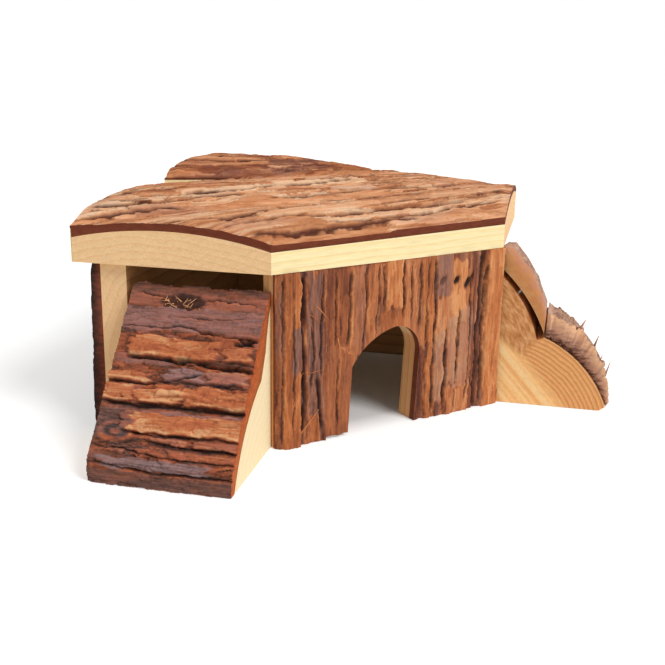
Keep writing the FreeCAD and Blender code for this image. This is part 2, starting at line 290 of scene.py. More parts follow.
def barkPiece(name, spanU, spanV, step, measure, place, cuts=(), outlines=(), splinters=()):
    # A grid is trimmed flat, extruded to a closed sheet and then laid on its log. measure gives
    # height, crack and painted shade, tone and grey, and place turns u, v and height into plan millimetres.
    bm = bmesh.new()
    lengthU = spanU[1] - spanU[0]
    lengthV = spanV[1] - spanV[0]
    countU = max(2, round(lengthU / step))
    countV = max(2, round(lengthV / step))
    bmesh.ops.create_grid(bm, x_segments=countU, y_segments=countV, size=0.5)
    bmesh.ops.scale(bm, verts=bm.verts[:], vec=(lengthU, lengthV, 1))
    bmesh.ops.translate(bm, verts=bm.verts[:], vec=(sum(spanU) / 2, sum(spanV) / 2, 0))
    for point, normal in cuts:
        whole = bm.verts[:] + bm.edges[:] + bm.faces[:]
        at = (point[0], point[1], 0)
        out = (normal[0], normal[1], 0)
        bmesh.ops.bisect_plane(bm, geom=whole, dist=1e-5, plane_co=at, plane_no=out, clear_outer=True)
    for outline in outlines:
        cutOutline(bm, outline)
    grown = bmesh.ops.extrude_face_region(bm, geom=bm.faces[:])
    top = [item for item in grown["geom"] if isinstance(item, bmesh.types.BMVert)]
    bmesh.ops.translate(bm, verts=top, vec=(0, 0, 1))
    bm.verts.index_update()
    flat = np.array([vert.co[:] for vert in bm.verts])
    u, v = flat[:, 0], flat[:, 1]
    isTop = flat[:, 2] > 0.5
    for face in bm.faces:
        face.material_index = 0 if all(isTop[vert.index] for vert in face.verts) else 1
    for edge in bm.edges:
        if len({face.material_index for face in edge.link_faces}) > 1:
            edge.smooth = False
    height, crackAndShade, tone, grey = measure(u, v)
    spots = place(u, v, height, isTop) + planShift
    for vert, spot in zip(bm.verts, spots * mm):
        vert.co = spot
    rows = [np.stack([crackAndShade, tone, grey, isTop * 1], 1)]
    grains = [np.stack([u, v, height], 1)]
    for u0, v0, runU, runV, rise, width, shade in splinters:
        us = np.array([u0, u0 + runU])
        vs = np.array([v0, v0 + runV])
        foot = measure(us[:1], vs[:1])[0][0] - 0.25
        ends = place(us, vs, np.array([foot, foot + rise]), np.array([True, True])) + planShift
        start, tip = (Vector(end) for end in ends * mm)
        run = tip - start
        turned = Matrix.Translation((start + tip) / 2) @ run.to_track_quat("Z", "Y").to_matrix().to_4x4()
        thin = bmesh.ops.create_cone(
            bm,
            cap_ends=True,
            segments=5,
            radius1=width * mm / 2,
            radius2=width * mm * 0.08,
            depth=run.length,
            matrix=turned,
        )
        count = len(thin["verts"])
        rows.append(np.tile([0, shade, 0, 1], (count, 1)))
        grains.append(np.tile([u0, v0, 0], (count, 1)))
    for face in bm.faces:
        face.smooth = True
    bmesh.ops.recalc_face_normals(bm, faces=bm.faces[:])
    openEdges = sum(1 for edge in bm.edges if len(edge.link_faces) != 2)
    piece = builtFrom(name, bm)
    mesh = piece.data
    rows = np.concatenate(rows).astype(np.float32)
    for column, key in enumerate(("crackAndShade", "tone", "grey", "skin")):
        layer = mesh.attributes.new(key, "FLOAT", "POINT")
        layer.data.foreach_set("value", rows[:, column].copy())
    grain = mesh.attributes.new("grain", "FLOAT_VECTOR", "POINT")
    grain.data.foreach_set("vector", (np.concatenate(grains) * mm).astype(np.float32).ravel())
    print(name, len(mesh.polygons), "faces,", openEdges, "open edges")
    return piece


def standFor(piece, node, slot, *materials):
    for material in materials:
        piece.data.materials.append(material)
    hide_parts(node)
    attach(piece, "root")


def noise(add, vector, scale, detail):
    # of a real size, and stretched along the grain where it has three scales
    if isinstance(scale, tuple):
        vector, scale = add("Mapping", {"Vector": vector, "Scale": scale}), 1
    return add("TexNoise", {"Vector": vector, "Scale": scale, "Detail": detail})


def closeWith(add, base, rough, height, strength, specular):
    # the surface itself, with a fine relief of up to 0.3 mm
    normal = add("Bump", {"Height": height, "Strength": strength, "Distance": 0.0003})
    look = {"Base Color": base, "Roughness": rough, "Normal": normal, "Specular IOR Level": specular}
    add("OutputMaterial", {"Surface": add("BsdfPrincipled", look)})


def barkSkin(name, tones, crackAndShadeColour, greyColour, fibreWidth, fibreGain):
    # Dry bark as growth split it: matt, each flake of its own tone, fibres along the grain,
    # dark in the cracks and pits, partly their own colour and partly painted shade, with painted
    # shadow lines under plates and along the roof's back seam, and filmed with grey where it has weathered.
    material, add = emptyMaterial(name)
    grain = add("Attribute", attribute_name="grain", out="Vector")
    tone, crackAndShade, grey = (add("Attribute", attribute_name=key, out="Fac") for key in ("tone", "crackAndShade", "grey"))
    fine = 1 / (fibreWidth * mm)
    blotchGain = 0.5
    fibre = noise(add, grain, (fine / 16, fine, fine / 4), 4)
    blotch = noise(add, grain, (90, 330, 200), 3)
    shade = add("Math", {0: blotch, 1: blotchGain, 2: tone}, operation="MULTIPLY_ADD")
    shade = add("Math", {0: fibre, 1: fibreGain, 2: shade}, operation="MULTIPLY_ADD")
    shade = add("Math", {0: shade, 1: 0.5 * (blotchGain + fibreGain)}, operation="SUBTRACT")
    base = add("ValToRGB", {"Fac": shade}, stops=tones)
    film = add("Math", {0: fibre, 1: 1.8, 2: -0.35}, operation="MULTIPLY_ADD")
    film = add("Math", {0: film, 1: grey}, operation="MULTIPLY", use_clamp=True)
    for share, colour in ((film, greyColour), (crackAndShade, crackAndShadeColour)):
        base = add("Mix", {0: share, 6: base, 7: linearColour(colour)}, data_type="RGBA", out=2)
    rough = add("MapRange", {"Value": fibre, "To Min": 0.75, "To Max": 0.95})
    closeWith(add, base, rough, fibre, 0.6, 0.25)
    return material


def sawnBark(name, inner, outer, streak, blotch=260):
    # The cut edge of bark: cork-like, smeared by the saw, darker towards the outer skin.
    material, add = emptyMaterial(name)
    skin = add("Attribute", attribute_name="skin", out="Fac")
    place = add("TexCoord", out="Object")
    layer = noise(add, place, (blotch, blotch, 3 * blotch), 4)
    pit = noise(add, place, 1400, 3)
    shade = add("Math", {0: layer, 1: 1.2, 2: skin}, operation="MULTIPLY_ADD")
    shade = add("Math", {0: shade, 1: 0.6}, operation="SUBTRACT")
    base = add("ValToRGB", {"Fac": shade}, stops=[(0, inner), (0.45, streak), (1, outer)])
    closeWith(add, base, 0.88, pit, 0.6, 0.25)
    return material


def onAxes(add, centre, axes):
    # how far a spot lies along each axis from a centre given on the plan
    ends = {0: add("TexCoord", out="Object"), 1: (Vector(centre) + Vector(planShift)) * mm}
    offset = add("VectorMath", ends, operation="SUBTRACT")
    dots = [add("VectorMath", {0: offset, 1: axis}, operation="DOT_PRODUCT", out="Value") for axis in axes]
    return add("CombineXYZ", dict(enumerate(dots)))


def radiusOf(add, local):
    # how far a spot lies from the third axis
    flat = add("VectorMath", {0: local, 1: (1, 1, 0)}, operation="MULTIPLY")
    return add("VectorMath", {0: flat}, operation="LENGTH", out="Value")


def growthRings(add, radius, perMetre, drift, sway):
    # 0 to 1 across each ring, with a slow drift in the spacing
    ring = add("Math", {0: radius, 1: perMetre}, operation="MULTIPLY")
    ring = add("Math", {0: drift, 1: sway, 2: ring}, operation="MULTIPLY_ADD")
    return add("Math", {0: ring}, operation="FRACT")


def finishWood(add, base, fibre, speck, speckle):
    # fuzzy sawn fibres: a little lighter and darker, and raised
    both = add("Math", {0: fibre, 1: speck}, operation="ADD")
    ranged = {"Value": both, "From Min": 0.6, "From Max": 1.4}
    ranged.update({"To Min": 1 - speckle, "To Max": 1 + speckle})
    gain = add("MapRange", ranged, clamp=False)
    base = add("VectorMath", {0: base, 1: gain}, operation="MULTIPLY")
    closeWith(add, base, 0.8, both, 0.4, 0.3)


def sawnWood(name, axis, ringCentre, ringGap, sideStops, endStops, speckle=0.07):
    # Sawn, unfinished softwood: pale and matt, growth rings round the log's axis that show as
    # faint arcs on the end grain and bands on the long grain, with open fibres about 0.7 mm
    # across and 9 mm long.
    material, add = emptyMaterial(name)
    axis = Vector(axis).normalized()
    first = axis.orthogonal().normalized()
    local = onAxes(add, ringCentre, (first, axis.cross(first), axis))
    drift = noise(add, local, (40, 40, 9), 2)
    ring = growthRings(add, radiusOf(add, local), 1 / (ringGap * mm), drift, 2.2)
    fibre = noise(add, local, (1500, 1500, 110), 3)
    speck = noise(add, local, (900, 420, 160), 2)
    side = add("ValToRGB", {"Fac": ring}, stops=sideStops)
    end = add("ValToRGB", {"Fac": ring}, stops=endStops)
    facing = {0: add("NewGeometry", out="True Normal"), 1: axis}
    facing = add("VectorMath", facing, operation="DOT_PRODUCT", out="Value")
    facing = add("Math", {0: facing}, operation="ABSOLUTE")
    endShare = add("MapRange", {"Value": facing, "From Min": 0.4, "From Max": 0.6})
    base = add("Mix", {0: endShare, 6: side, 7: end}, data_type="RGBA", out=2)
    finishWood(add, base, fibre, speck, speckle)
    return material


def rampEndGrain(name, corner, upper, lower, split, pale):
    # The right ramp's sawn end: fuzzy tan above, crisp rings that follow the lower lobe, and
    # paler wood with soft slanted lines below. split and pale hold a point and a direction.
    material, add = emptyMaterial(name)
    axes = ((diagonal, -diagonal, 0), (0, 0, 1), (diagonal, diagonal, 0))
    local = onAxes(add, (*corner, 0), axes)

    def awayFrom(point):
        return add("VectorMath", {0: local, 1: (point[0] * mm, point[1] * mm, 0)}, operation="SUBTRACT")

    def rightOf(point, direction):
        # how far a spot lies to the right of a line
        size = math.hypot(*direction)
        ends = {0: awayFrom(point), 1: (direction[1] / size, -direction[0] / size, 0)}
        return add("VectorMath", ends, operation="DOT_PRODUCT", out="Value")

    def softened(reach):
        return add("MapRange", {"Value": reach, "From Min": -0.0015, "From Max": 0.0015})

    slow = noise(add, local, 90, 2)
    rings = growthRings(add, radiusOf(add, awayFrom(lower)), 560, slow, 1.1)
    ringStops = [(0, "#F2B87C"), (0.5, "#E9A768"), (0.75, "#D48C4A"), (0.9, "#E09A5A"), (1, "#F2B87C")]
    lobe = add("ValToRGB", {"Fac": rings}, stops=ringStops)
    bands = add("Math", {0: radiusOf(add, awayFrom(upper)), 1: 800}, operation="MULTIPLY")
    height = add("SeparateXYZ", {0: local}, out=1)
    height = add("Math", {0: height, 1: 260}, operation="MULTIPLY")
    fuzz = noise(add, add("CombineXYZ", {0: bands, 1: height}), 1, 4)
    fuzzy = add("ValToRGB", {"Fac": fuzz}, stops=[(0.3, "#B06E38"), (0.5, "#D2935A"), (0.7, "#EBB47E")])
    reach = rightOf(*pale[0])
    wide = add("Math", {0: reach, 1: 330}, operation="MULTIPLY")
    lines = noise(add, add("CombineXYZ", {0: wide}), 1, 2)
    paleStops = [(0.38, "#F0AE6C"), (0.5, "#FFCE8C"), (0.7, "#FFDDA4")]
    paleWood = add("ValToRGB", {"Fac": lines}, stops=paleStops)
    both = add("Math", {0: reach, 1: rightOf(*pale[1])}, operation="MINIMUM")
    base = add("Mix", {0: softened(rightOf(*split)), 6: fuzzy, 7: lobe}, data_type="RGBA", out=2)
    base = add("Mix", {0: softened(both), 6: base, 7: paleWood}, data_type="RGBA", out=2)
    fibre = noise(add, local, 1300, 3)
    speck = noise(add, local, 520, 2)
    finishWood(add, base, fibre, speck, 0.1)
    return material


def dress(node, material):
    # a CAD node keeps its shape and gets a material
    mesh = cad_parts[node].data
    mesh.materials.clear()
    mesh.materials.append(material)


# The camera stands where the photograph was taken from.
cameraView = {
    "place": (-0.2159, -0.3621, 0.1437),
    "yaw": 32.05,
    "down": 16.16,
    "roll": 0.8955,
    "lens": 54.135,
    "sensor": 36,
}
camera = placed("camera", bpy.data.cameras.new("camera"))
camera.data.lens = cameraView["lens"]
camera.data.sensor_width = cameraView["sensor"]
camera.data.clip_start = 0.01
turned = Matrix.Rotation(math.radians(-cameraView["yaw"]), 4, "Z")
turned = turned @ Matrix.Rotation(math.radians(90 - cameraView["down"]), 4, "X")
turned = turned @ Matrix.Rotation(math.radians(cameraView["roll"]), 4, "Z")
camera.matrix_world = Matrix.Translation(cameraView["place"]) @ turned
bpy.context.scene.camera = camera
print("camera placed")

# Roof. Each slab's log: where it starts, its width, the wood's thickness at the front, crown and
# back, its rise to the right and its turn in degrees.
roofShape = {
    "wall": 66,
    "bark": 3.8,
    "half": 52.766,
    "cut": 53.3,
    "seam": 107.7,
    "front": (0, 53, (8.6, 14.2, 10.5), 0.014, 0),
    "middle": (53.3, 62.84, (11.2, 16.2, 11.2), -0.011, 0),
    "back": (108.005, 51.666, (17.2, 21.5, 19.5), -0.03, 10.6),
}
roofLook = {
    "step": 0.46,
    "swell": (0.5, 70, 14),
    "flakes": [(75, 10, 2, 0.42, 0.5, 0.45), (30, 4.5, 1.3, 0.18, 0.4, 0.2)],
    "splits": (90, 9, 0.7, 1, 0.45),
    "fibre": (0.05, 0.08, 9, 0.9),
}
# Single plates and stains: along from and to, across from and to, lift, tone, and then grey and
# crack with painted shade where they aren't 0.
roofPatches = {
    "front": [
        (-52, -2, -2, 4.6, -1.4, 0.35),
        (-44, 8, 19.8, 28.4, 0.4, 0.8),
        (-20, 36, 8, 14, 0.3, 0.75, 0.05),
        (34, 80, 24, 34, 0.2, 0.65, 0.15),
    ],
    "middle": [
        (-56, -8, 68.5, 75, 0.5, 0.95),
        (-12, 36, 73.5, 81, 0.5, 0.95),
        (-38, 0, 91, 106, 0.2, 0.5, 0.4),
        (-82, -62, 54.5, 61, 0.2, 0.45, 0.4),
        (10, 34, 63, 66.5, 0.2, 0.8, 0.6),
        (60, 92, 62, 72, 0.3, 0.6, 0.25),
    ],
    "back": [
        (8, 31, 10, 15.5, 0.9, 0, 0.25, 0.5),
        (-60, -6, 8, 20, 0.2, 0.35, 0.1),
        (40, 64, -2, 16, 0.2, 0.4),
    ],
}
# width, depth and the points, along and across, that each long crack passes
roofCracks = {
    "front": [
        (0.6, 1.4, [(-64, 43), (-45.5, 49.5), (-34, 52)]),
        (0.55, 1.2, [(-82, 29), (-68, 26.5), (-58, 23), (-52, 25), (-35, 29), (-17, 30.8)]),
        (0.55, 1.2, [(-19, 30.6), (6, 35), (35, 46), (62, 49)]),
        (0.55, 1.2, [(-65, 14), (-52, 16.5), (-37, 19.8), (-22, 17), (18, 14.8), (46, 17)]),
        (0.5, 1, [(-58, 6.5), (-48, 5.2), (-42, 4.2), (-19, 4.8), (0, 5.6), (14, 4.2)]),
        (0.5, 1, [(5, 20), (23, 21.8), (46, 22), (76, 23.5)]),
        (0.45, 0.9, [(-26, 9.8), (-8, 7.4), (16, 7.4), (40, 12), (62, 13)]),
        (0.45, 0.9, [(-70, 35), (-40, 38.5), (-10, 40), (20, 43.5)]),
        (0.45, 0.9, [(20, 35), (48, 34), (84, 36)]),
    ],
    "middle": [
        (0.55, 1.1, [(-94, 70), (-72, 79), (-60, 79.3), (-46, 83)]),
        (0.5, 1.1, [(-96, 62.6), (-77, 63), (-62, 64.3), (-28, 66)]),
        (0.6, 1.1, [(-56, 68), (-27, 70.5), (4, 74.6), (34, 79.5)]),
        (0.45, 0.9, [(-22, 60), (10, 60.5), (40, 62), (78, 60)]),
        (0.45, 0.9, [(28, 72), (60, 70.5), (90, 67)]),
        (0.45, 0.8, [(-40, 88), (0, 88), (40, 90), (66, 85)]),
        (0.45, 0.8, [(-100, 56.5), (-84, 57.5), (-60, 56)]),
    ],
    "back": [
        (0.5, 1, [(-46, 21), (-10, 17), (22, 18.5)]),
        (0.5, 1, [(-32, 31), (0, 27), (30, 26)]),
        (0.5, 1, [(2, 8), (30, 9), (52, 8)]),
        (0.5, 1, [(-55, 9), (-30, 10), (-6, 7)]),
    ],
}
roofSeeds = {"front": 11, "middle": 11, "back": 37}  # one relief runs across the front seam
bradSpots = np.array([vert.co[:2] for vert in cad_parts["roof_brads"].data.vertices]) / mm
bradSpots = np.unique(np.round((bradSpots - planShift[:2]) / 2), axis=0) * 2


def roofBark(name):
    start, width, wood, rise, turn = roofShape[name]
    turn = math.radians(turn)
    rightward = np.array([math.cos(turn), -math.sin(turn)])
    backward = np.array([math.sin(turn), math.cos(turn)])
    origin = np.array([0, start if turn else 0])
    bottom = 0 if turn else start
    half = roofShape["half"]
    far = half + roofShape["cut"]
    frontSeam = roofShape["middle"][0]
    crown = circleThrough((bottom, wood[0]), (bottom + width / 2, wood[1]), (bottom + width, wood[2]))

    def toLog(point, normal):
        shifted = np.array(point) - origin
        at = (shifted @ rightward, shifted @ backward)
        return at, (np.array(normal) @ rightward, np.array(normal) @ backward)

    d = diagonal
    cuts = [
        toLog((-half, 0), (-d, -d)),
        toLog((half, 0), (d, -d)),
        toLog((-far, far - half), (-d, d)),
        toLog((far, far - half), (d, d)),
    ]
    sawn = list(cuts)
    if name == "front":
        sawn.append(((0, 0), (0, -1)))
    if name == "middle":
        slope = math.radians(roofShape["back"][4])
        cuts.append(((0, roofShape["seam"]), (math.sin(slope), math.cos(slope))))

    def measure(u, v):
        height, crackAndShade, tone = barkRelief(u, v, roofLook, roofSeeds[name])
        tone = 0.62 * tone + (0 if name == "back" else 0.3)
        grey = 0.3 * smoothStep(0.1, 0.7, layeredNoise(u / 40, v / 9, 5, 2))
        state = layPatches(u, v, (height, crackAndShade, tone, grey), roofPatches[name], roofSeeds[name] + 3)
        height, crackAndShade, tone, grey = drawCracks(u, v, state, roofCracks[name], roofSeeds[name] + 90, 2)
        edges = [-((u - at[0]) * out[0] + (v - at[1]) * out[1]) for at, out in sawn]
        height = height * (0.3 + 0.7 * smoothStep(0, 6, np.min(edges, 0)))
        height = height - 0.9 * smoothStep(4.5, 0, np.min(edges, 0))  # worn thin along the saw cuts
        step = 0.5 * (0.7 - 0.025 * u)  # half of the step between the front and middle logs
        if name == "front":
            height = height + step * smoothStep(10, 0, frontSeam - v)
        if name == "middle":
            height = height - step * smoothStep(10, 0, v - frontSeam)
            toSeam = -(u * cuts[-1][1][0] + (v - roofShape["seam"]) * cuts[-1][1][1])
            height = height + 2.3 * smoothStep(5, 0, toSeam)  # heaped against the back slab
            # painted shadow: the middle bark darkens within 6 mm of the back slab, with a dark line at the
            # seam, where the back slab's shade falls
            tone = tone - 0.3 * smoothStep(6, 1, toSeam)
            crackAndShade = np.maximum(crackAndShade, 0.3 * smoothStep(4, 0.5, toSeam))
        if name == "back":
            ragged = v + 1.3 * layeredNoise(u / 9, v / 20, 77, 3)
            height = height - 3.2 * smoothStep(5.5, 0, ragged)
            # painted shadow: the back bark's drooping front edge is darkened as the shadow line along the
            # seam
            crackAndShade = np.maximum(crackAndShade, 0.75 * smoothStep(2.2, 0, ragged))
        height = roofShape["bark"] + height
        plan = origin + np.outer(u, rightward) + np.outer(v, backward)
        for spot in bradSpots:
            away = np.hypot(*(plan - spot).T)
            height = np.maximum(height, 3.6 * smoothStep(3.4, 2.2, away))
        return np.maximum(height, 0.7), crackAndShade, tone, grey

    def place(u, v, height, isTop):
        arc = crown[1] + np.sqrt(np.maximum(crown[2] ** 2 - (v - crown[0]) ** 2, 0))
        plan = origin + np.outer(u, rightward) + np.outer(v, backward)
        z = roofShape["wall"] + arc + rise * u + np.where(isTop, height, 0)
        return np.column_stack([plan, z])

    spanU = (-far - 1, far + 1) if not turn else (-62, 62)
    title = "roof" + name.capitalize() + "Bark"
    return barkPiece(title, spanU, (bottom, bottom + width), roofLook["step"], measure, place, cuts)


roofTones = [(0, "#84452B"), (0.25, "#B06A42"), (0.5, "#D58E5F"), (0.75, "#ECAC7E"), (1, "#F6C8A0")]
roofSkin = barkSkin("pineBarkFlakyTan", roofTones, "#4E2416", "#B8A096", 0.6, 0.35)
roofCut = sawnBark("pineBarkSawnBrown", "#8E4A2E", "#6E3420", "#7E3E28")
for name in ("front", "middle", "back"):
    standFor(roofBark(name), "roof_" + name + "_bark", "roof_bark", roofSkin, roofCut)
print("roof bark laid")

# Front wall bark: upright strips, with the doorway cut through. Along is up, across is to the right.
frontShape = {"left": -50.4, "right": 53.6, "tall": 66, "back": 3.1, "bark": 2.6}
frontLook = {
    "step": 0.42,
    "swell": (0.3, 60, 7),
    "flakes": [(60, 5, 1.5, 0.28, 0.35, 0.25), (22, 2, 1.4, 0.17, 0.3, 0.16)],
    "splits": (60, 5, 0.3, 0.7, 0.45),
    "fibre": (0.15, 0.16, 11, 0.8),
}
frontPatches = [
    (-2, 68, -48, -40.8, 1, 0.52),
    (28, 46, -44.5, -40.5, 0, 0.25, 0.8, 0.1),
    (-2, 68, -40.8, -38.6, -0.6, 0.08, 0.4, 0.35),
    (4, 65, -38.2, -31.2, 0.3, 0.3, 0.55),
    (36, 68, -30.8, -19.4, -0.1, 0.34, 0.05),
    (-3, 33, -30.6, -17, 0.8, 0.4, 0.1),
    (0, 12, -37.5, -32.4, 0.5, 0.6),
    (34, 64, -18, -12.6, 0.3, 0.55, 0.35),
    (34, 66, -12, -6.6, 0.2, 0.6, 0.1),
    (47, 68, -3.8, 4.2, 0.7, 0.9),
    (36, 47, -6, 8, 0, 0.55),
    (34, 68, 5, 12, 0.3, 0.75, 0.15),
    (30, 68, 13.2, 18.8, 0.5, 0.62),
    (-2, 30, 11, 15.6, -0.5, 0.12, 0.05, 0.2),
    (-2, 44, 16, 18.8, 0.4, 0.75),
    (48, 68, 19.6, 27.4, 0.1, 0.45, 0.75),
    (37, 64, 26.6, 35, 0.5, 0.95, 0.05),
    (30, 50, 19.6, 27, 0.4, 0.95, 0.2),
    (6, 36, 19.2, 24.4, 0.6, 0.8, 0.7),
    (12, 42, 25, 30.4, 0.7, 0.85, 0.75),
    (10, 44, 30.8, 38, 0.5, 0.8, 0.7),
    (-1, 12, 25.6, 38, 0.5, 0.85, 0.15),
    (-2, 68, 41.2, 44.4, -0.6, 0.1, 0.3, 0.25),
    (-2, 68, 45, 54.6, 1.1, 0.82),
]
frontCracks = [
    (0.45, 0.7, [(0, -48.4), (30, -48), (66, -48.3)]),
    (0.45, 0.7, [(4, -44.4), (30, -43.6), (62, -44.6)]),
    (1.1, 1.5, [(4, -39.8), (20, -39), (40, -40.2), (65, -39.6)]),
    (0.6, 1, [(20, -36.4), (34, -35.2), (52, -36.2)]),
    (0.6, 1, [(24, -32.4), (40, -32), (66, -31.2)]),
    (1.1, 1.5, [(3, -31.4), (12, -32.2), (19, -32.6), (27, -33.6)]),
    (0.45, 0.7, [(34, -25.4), (50, -25), (66, -25.6)]),
    (0.45, 0.7, [(2, -24.4), (18, -24.9), (32, -24)]),
    (0.7, 1, [(34, -20.6), (44, -19.3), (65, -18.8)]),
    (0.5, 0.9, [(32, -13.6), (48, -12), (66, -12.4)]),
    (0.5, 0.9, [(36, -8), (50, -6.6), (66, -6.2)]),
    (0.45, 0.8, [(46, -4), (66, -4.2)]),
    (0.45, 0.8, [(42, 4.6), (66, 4.3)]),
    (0.45, 0.7, [(40, 8.2), (66, 8.6)]),
    (0.5, 0.9, [(36, 12.6), (66, 12.9)]),
    (0.4, 0.6, [(24, 16), (45, 15.4), (66, 15.8)]),
    (0.7, 1.1, [(0, 19.2), (20, 18.9), (40, 19.4), (66, 19.2)]),
    (0.5, 0.8, [(0, 24.6), (14, 25), (36, 24.4)]),
    (0.5, 0.8, [(0, 30.2), (20, 30.6), (46, 31.4)]),
    (0.5, 0.8, [(2, 36), (24, 37.4), (50, 36.8), (60, 38.2)]),
    (1.3, 1.9, [(-2, 41.6), (17, 42), (30, 41.6), (45, 42.4), (66, 43.4)]),
    (0.6, 1, [(0, 44.6), (30, 44.2), (62, 45)]),
]
# height, place across, size and darkness of the knots beside the doorway
frontKnots = [(55.8, 22.6, 1.4, 0.6), (55.5, 29.1, 1.4, 1), (53.6, 35.2, 2, 1)]
# along, across, run along, run across, rise, width and tone of the loose fibres
frontSplinters = [
    (64.3, -38.9, -5, 5, 1, 0.45, 0.55),
    (59.3, -34.6, -6, 4, 0.7, 0.4, 0.5),
    (53.2, -34.5, -6, 5, 1.2, 0.5, 0.85),
    (50, -37, -4, 4.5, 0.9, 0.35, 0.7),
    (35.2, -22.6, -5.6, 6.4, 1.4, 0.8, 0.95),
    (39, -24.4, -5.5, 0.6, 0.8, 0.7, 0.9),
    (24, -44, 5, 3.6, 1, 0.5, 0.85),
    (30, -39.5, -1, 9.5, 1.2, 0.5, 0.75),
    (27.5, -38.6, 1, 7.5, 0.9, 0.4, 0.6),
    (5, -41.6, 9, 7.4, 1.1, 0.7, 0.8),
    (3, -42.4, 6, 4, 0.8, 0.6, 0.65),
    (16, -36, 5, -2.6, 0.9, 0.45, 0.55),
    (46, -36, -7, 1.4, 0.8, 0.4, 0.5),
    (1.6, 15, -1.2, 3, 0.6, 0.6, 0.5),
]


def doorOutline():
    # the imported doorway's arch, up from below the floor and back down, as height and place across
    def bowed(a, b, bow):
        run = np.subtract(b, a)
        return (np.add(a, b) / 2 + np.array([-run[1], run[0]]) / np.hypot(*run) * bow).tolist()

    left, top, right = (-18.3, 27), (1.2, 40.2), (12.7, 27)
    first = arcPoints(left, bowed(left, top, 2.6), top, 14)
    second = arcPoints(top, bowed(top, right, 4.2), right, 12)
    shape = np.concatenate([[(-20, -5)], first, second[1:], [(11, -5)]])
    return shape[:, ::-1].copy()


doorway = doorOutline()
doorRuns = np.concatenate([np.linspace(a, b, 12) for a, b in zip(doorway, doorway[1:])])


def measureFront(u, v):
    height, crackAndShade, tone = barkRelief(u, v, frontLook, 101)
    grey = 0.15 + 0.35 * smoothStep(0, 0.6, layeredNoise(u / 30, v / 6, 8, 2))
    state = layPatches(u, v, (height, crackAndShade, tone * 0.6 + 0.15, grey), frontPatches, 120)
    height, crackAndShade, tone, grey = drawCracks(u, v, state, frontCracks, 160, 0.65)
    for knotZ, knotX, size, dark in frontKnots:
        away = np.hypot((u - knotZ) / (1.3 * size), (v - knotX - 0.35 * (u - knotZ)) / size)
        height = height - 1.2 * np.exp(-(away ** 2)) + 0.35 * np.exp(-((away - 1.6) ** 2) * 3)
        crackAndShade = np.maximum(crackAndShade, dark * smoothStep(1.25, 0.6, away))
    bulge = np.exp(-(((v - 27) / 13) ** 2)) * (0.6 + 0.4 * np.sin(u / 66 * math.pi))
    height = height + 1.7 * bulge + 1.2 * np.exp(-(((v + 43) / 7) ** 2))
    near = np.full_like(u, 99)
    for spot in doorRuns:
        near = np.minimum(near, np.hypot(u - spot[0], v - spot[1]))
    height = 0.4 + (height - 0.4) * smoothStep(0.4, 4, near)
    height = frontShape["bark"] + height - 1.3 * smoothStep(1.6, 0, v - frontShape["left"])
    height = np.where(v > 51, np.maximum(height, 3), height)
    return np.maximum(height, 0.6), crackAndShade, tone, grey


def placeFront(u, v, height, isTop):
    return np.column_stack([v, frontShape["back"] - np.where(isTop, height, 0), u])


chipped = [(-2, -29.8), (0.9, -29.4), (1.3, -27), (0.8, -24), (1.2, -21.5), (0.9, -18), (-2, -18)]
spans = ((0, frontShape["tall"]), (frontShape["left"], frontShape["right"]))
edges = {"outlines": [doorway, np.array(chipped)], "splinters": frontSplinters}
frontBark = barkPiece("frontWallBark", *spans, frontLook["step"], measureFront, placeFront, **edges)
frontTones = [(0, "#4A2218"), (0.25, "#7E442C"), (0.5, "#A96138"), (0.75, "#C87A48"), (1, "#E09C66")]
frontSkin = barkSkin("cedarBarkFibrousRed", frontTones, "#2A1713", "#957C74", 0.5, 0.7)
frontCut = sawnBark("cedarBarkSawn", "#9A5A34", "#6B3422", "#84482C")
standFor(frontBark, "front_wall_bark", "front_bark", frontSkin, frontCut)
print("front wall bark laid")

# Side wall bark, seen at its ends and from the back. Along is up, across is along the wall.
sideLook = {
    "step": 0.62,
    "swell": (0.5, 50, 12),
    "flakes": [(40, 9, 2, 0.5, 0.5, 0.5), (16, 4, 1.5, 0.3, 0.45, 0.3)],
    "splits": (50, 9, 0.6, 1.2, 0.6),
    "fibre": (0.1, 0.12, 8, 1.2),
}
# left and right hold the wall's side, how far along it ends and its noise seed
sideShape = {
    "in": 9.4,
    "bark": 4,
    "tall": 66,
    "start": 3.5,
    "far": 106.066,
    "left": (-1, 140.6, 301),
    "right": (1, 130.3, 341),
}


def sideBark(name, side, end, seed):
    def measure(u, v):
        height, crackAndShade, tone = barkRelief(u, v, sideLook, seed)
        grey = 0.7 * smoothStep(-0.2, 0.6, layeredNoise(u / 25, v / 14, seed + 2, 3))
        height = height * (0.4 + 0.6 * smoothStep(0, 6, v - sideShape["start"]))
        height = sideShape["bark"] + height + 1.4 * smoothStep(60, 0, u)
        height = height - 1.6 * smoothStep(4, 0, u) - 0.8 * smoothStep(61, 66, u)
        return np.clip(height, 0.8, 7), crackAndShade, tone, grey

    def place(u, v, height, isTop):
        inward = sideShape["in"] - np.where(isTop, height, 0)
        x = sideShape["far"] - (v + inward) * diagonal
        return np.column_stack([side * x, roofShape["cut"] + (v - inward) * diagonal, u])

    span = (sideShape["start"], end)
    return barkPiece(name, (0, sideShape["tall"]), span, sideLook["step"], measure, place)


sideTones = [(0, "#2A1C18"), (0.35, "#493029"), (0.65, "#6A4638"), (1, "#8A6048")]
sideSkin = barkSkin("pineBarkDark", sideTones, "#15100E", "#5C534E", 0.6, 0.6)
sideCut = sawnBark("pineBarkSawnDark", "#84452F", "#231814", "#5A3226")
for name in ("left", "right"):
    piece = sideBark(name + "WallBark", *sideShape[name])
    standFor(piece, name + "_wall_bark", "side_bark", sideSkin, sideCut)
print("side wall bark laid")

